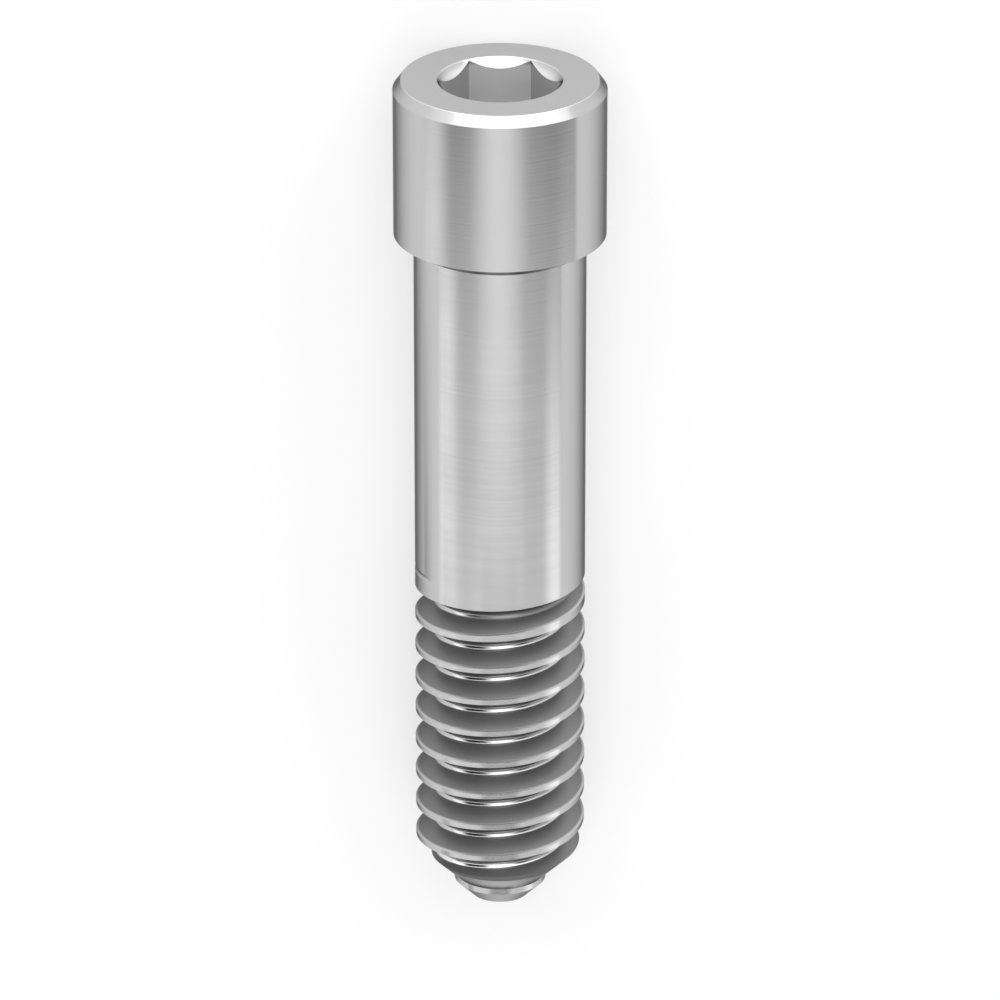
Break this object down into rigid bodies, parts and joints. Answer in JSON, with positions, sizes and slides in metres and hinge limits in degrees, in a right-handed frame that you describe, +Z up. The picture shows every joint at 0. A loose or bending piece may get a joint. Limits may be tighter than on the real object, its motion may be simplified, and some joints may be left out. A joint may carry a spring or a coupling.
{
  "type": "dental implant screw",
  "caption": "Small turned titanium screw with a hex socket head, conical seat, plain shank, fine right-hand thread and bevelled tip, for clamping a dental abutment to its implant.",
  "frame": {"origin": "on the table, under the middle of the screw's length as it lies on its side", "axes": "+Z up; the screw lies along Y with its head towards +Y; its axis leans 1.7 degrees, because the head's rim and the thread both touch the table; X is across it"},
  "size_m": [0.0024, 0.0102, 0.0024],
  "materials": {
    "titanium": "fine-turned titanium alloy, satin to bright"
  },
  "bodies": {
    "root": {"abutment_screw": "titanium"}
  },
  "joints": []
}
